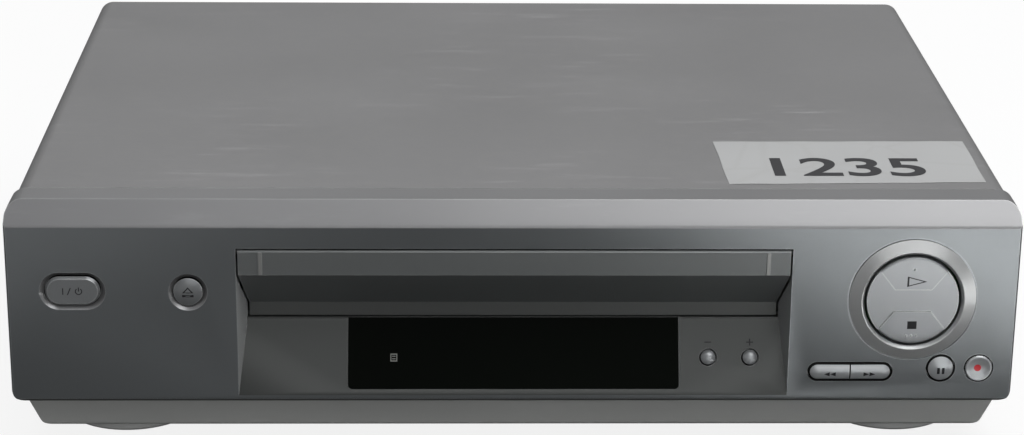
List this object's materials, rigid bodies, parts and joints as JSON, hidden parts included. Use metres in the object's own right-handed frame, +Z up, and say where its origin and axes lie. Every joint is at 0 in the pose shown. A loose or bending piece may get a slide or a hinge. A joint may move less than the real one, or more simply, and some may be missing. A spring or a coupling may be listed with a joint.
{
  "type": "video cassette recorder",
  "caption": "Front-loading VHS video cassette recorder with a flap door, key cluster, display and a complete tape mechanism inside.",
  "frame": {"origin": "centre of the bounding box's underside, on the surface the feet stand on", "axes": "+X to the viewer's right along the front, +Y from the front to the back, +Z up"},
  "size_m": [0.355, 0.2816, 0.094],
  "materials": {
    "silver_paint": "satin",
    "key_silver": "satin",
    "cover_paint": "satin",
    "grey_plastic": "matte",
    "door_plastic": "satin",
    "smoked_window": "gloss",
    "dark_plastic": "matte",
    "white_plastic": "satin",
    "board": "satin",
    "plated_steel": "satin",
    "spring_steel": "satin",
    "zinc": "polished",
    "machined": "polished",
    "brass": "satin",
    "rubber": "matte",
    "tube_glass": "gloss",
    "winding": "matte",
    "capacitor_sleeve": "gloss",
    "rear_steel": "matte"
  },
  "bodies": {
    "case": {"front_panel": "silver_paint", "door_spring": "spring_steel", "display_window": "smoked_window", "dial_ring": "key_silver", "base_chassis": "grey_plastic", "feet": "grey_plastic", "foot_pads": "rubber", "top_cover": "cover_paint", "cover_screws": "zinc", "rear_panel": "rear_steel", "scart_sockets": "dark_plastic", "tuner_can": "zinc", "aerial_in_socket": "zinc", "aerial_out_plug": "zinc", "phono_block": "dark_plastic", "phono_shells": "zinc", "mains_inlet": "dark_plastic", "main_board": "board", "supply_board": "board", "transformer": "winding", "capacitors": "capacitor_sleeve", "heat_sink": "machined", "front_boards": "board", "key_switches": "dark_plastic", "display_tube": "tube_glass", "mecha_deck": "plated_steel", "lower_drum": "machined", "capstan_bearing": "brass", "drive_belt": "rubber", "erase_head": "plated_steel", "audio_head": "plated_steel", "loading_motor": "zinc", "carriage_frame": "plated_steel"},
    "cam_gear": {"cam_gear": "white_plastic"},
    "capstan_rotor": {"capstan_rotor": "plated_steel"},
    "carriage_slider": {"carriage_slider": "dark_plastic"},
    "cassette_door": {"cassette_door": "door_plastic"},
    "cassette_tray": {"cassette_tray": "plated_steel"},
    "clutch_pulley": {"clutch_pulley": "white_plastic"},
    "eject_button": {"eject_button": "key_silver"},
    "fast_forward_button": {"fast_forward_button": "key_silver"},
    "idler_arm": {"idler_arm": "white_plastic"},
    "idler_wheel": {"idler_wheel": "rubber"},
    "pause_button": {"pause_button": "key_silver"},
    "pinch_arm": {"pinch_arm": "plated_steel"},
    "pinch_roller": {"pinch_roller": "rubber"},
    "play_stop_rocker": {"play_stop_rocker": "key_silver"},
    "power_button": {"power_button": "key_silver"},
    "program_down_button": {"program_down_button": "key_silver"},
    "program_up_button": {"program_up_button": "key_silver"},
    "record_button": {"record_button": "key_silver"},
    "rewind_button": {"rewind_button": "key_silver"},
    "supply_guide": {"supply_guide": "machined"},
    "supply_reel": {"supply_reel": "dark_plastic"},
    "take_up_guide": {"take_up_guide": "machined"},
    "take_up_reel": {"take_up_reel": "dark_plastic"},
    "tension_arm": {"tension_arm": "plated_steel"},
    "tray_pinions": {"tray_pinions": "white_plastic"},
    "upper_drum": {"upper_drum": "machined"},
    "worm": {"worm": "brass"}
  },
  "joints": [
    {"name": "door_swing", "type": "hinge", "parent": "case", "child": "cassette_door", "pos_m": [0, -0.1368, 0.0762], "axis": [1, 0, 0], "range_deg": [0, 88], "stiffness_Nm_per_rad": 0.01, "deforming": ["door_spring"]},
    {"name": "power_press", "type": "slide", "parent": "case", "child": "power_button", "axis": [0, 1, 0], "range_m": [0, 0.0008], "stiffness_N_per_m": 600},
    {"name": "eject_press", "type": "slide", "parent": "case", "child": "eject_button", "axis": [0, 1, 0], "range_m": [0, 0.0008], "stiffness_N_per_m": 600},
    {"name": "play_stop_rock", "type": "hinge", "parent": "case", "child": "play_stop_rocker", "pos_m": [0.1403, -0.1325, 0.059], "axis": [1, 0, 0], "range_deg": [-3, 3], "stiffness_Nm_per_rad": 0.2},
    {"name": "rewind_press", "type": "slide", "parent": "case", "child": "rewind_button", "axis": [0, 1, 0], "range_m": [0, 0.0008], "stiffness_N_per_m": 600},
    {"name": "fast_forward_press", "type": "slide", "parent": "case", "child": "fast_forward_button", "axis": [0, 1, 0], "range_m": [0, 0.0008], "stiffness_N_per_m": 600},
    {"name": "pause_press", "type": "slide", "parent": "case", "child": "pause_button", "axis": [0, 1, 0], "range_m": [0, 0.0008], "stiffness_N_per_m": 600},
    {"name": "record_press", "type": "slide", "parent": "case", "child": "record_button", "axis": [0, 1, 0], "range_m": [0, 0.0008], "stiffness_N_per_m": 600},
    {"name": "program_down_press", "type": "slide", "parent": "case", "child": "program_down_button", "axis": [0, 0.8883, -0.4592], "range_m": [0, 0.0008], "stiffness_N_per_m": 600},
    {"name": "program_up_press", "type": "slide", "parent": "case", "child": "program_up_button", "axis": [0, 0.8883, -0.4592], "range_m": [0, 0.0008], "stiffness_N_per_m": 600},
    {"name": "tray_slide", "type": "slide", "parent": "case", "child": "carriage_slider", "axis": [0, 1, 0], "range_m": [0, 0.07]},
    {"name": "pinion_turn", "type": "hinge", "parent": "case", "child": "tray_pinions", "pos_m": [0, -0.029, 0.08475], "axis": [1, 0, 0], "range_deg": [0, 803]},
    {"name": "tray_drop", "type": "slide", "parent": "carriage_slider", "child": "cassette_tray", "axis": [0, 0, -1], "range_m": [0, 0.02]},
    {"name": "drum_spin", "type": "hinge", "parent": "case", "child": "upper_drum", "pos_m": [0, 0.065, 0.022], "axis": [0.104, 0, 0.9946], "continuous": true},
    {"name": "capstan_spin", "type": "hinge", "parent": "case", "child": "capstan_rotor", "pos_m": [0.062, 0.011, 0.022], "axis": [0, 0, 1], "continuous": true},
    {"name": "clutch_spin", "type": "hinge", "parent": "case", "child": "clutch_pulley", "pos_m": [0, -0.019, 0.022], "axis": [0, 0, 1], "continuous": true},
    {"name": "idler_swing", "type": "hinge", "parent": "case", "child": "idler_arm", "pos_m": [0, -0.019, 0.022], "axis": [0, 0, 1], "range_deg": [-31, 31]},
    {"name": "idler_spin", "type": "hinge", "parent": "idler_arm", "child": "idler_wheel", "pos_m": [0, -0.043, 0.022], "axis": [0, 0, 1], "continuous": true},
    {"name": "supply_reel_spin", "type": "hinge", "parent": "case", "child": "supply_reel", "pos_m": [-0.046, -0.04, 0.022], "axis": [0, 0, 1], "continuous": true},
    {"name": "take_up_reel_spin", "type": "hinge", "parent": "case", "child": "take_up_reel", "pos_m": [0.046, -0.04, 0.022], "axis": [0, 0, 1], "continuous": true},
    {"name": "pinch_swing", "type": "hinge", "parent": "case", "child": "pinch_arm", "pos_m": [0.084, 0.033, 0.022], "axis": [0, 0, 1], "range_deg": [0, 34]},
    {"name": "pinch_roller_spin", "type": "hinge", "parent": "pinch_arm", "child": "pinch_roller", "pos_m": [0.05957, 0.03339, 0.022], "axis": [0, 0, 1], "continuous": true},
    {"name": "tension_swing", "type": "hinge", "parent": "case", "child": "tension_arm", "pos_m": [-0.074, -0.019, 0.022], "axis": [0, 0, -1], "range_deg": [0, 18], "stiffness_Nm_per_rad": 0.02},
    {"name": "cam_turn", "type": "hinge", "parent": "case", "child": "cam_gear", "pos_m": [0.066, 0.087, 0.022], "axis": [0, 0, 1], "range_deg": [0, 300]},
    {"name": "worm_turn", "type": "hinge", "parent": "case", "child": "worm", "pos_m": [0.0891, 0.081, 0.0315], "axis": [0, 1, 0], "range_deg": [0, 13500]},
    {"name": "supply_guide_slide", "type": "slide", "parent": "case", "child": "supply_guide", "axis": [-0.3162, 0.9487, 0], "range_m": [0, 0.0503]},
    {"name": "take_up_guide_slide", "type": "slide", "parent": "case", "child": "take_up_guide", "axis": [0.3162, 0.9487, 0], "range_m": [0, 0.0503]}
  ],
  "couplings": [
    {"joint": "pinion_turn", "follows": "tray_slide", "rad_per_m": 200},
    {"joint": "clutch_spin", "follows": "capstan_spin", "ratio": 0.69231},
    {"joint": "idler_spin", "follows": "capstan_spin", "ratio": -0.40154},
    {"joint": "worm_turn", "follows": "cam_turn", "ratio": 45},
    {"joint": "supply_guide_slide", "follows": "cam_turn", "m_per_rad": 0.0096057},
    {"joint": "take_up_guide_slide", "follows": "cam_turn", "m_per_rad": 0.0096057}
  ]
}
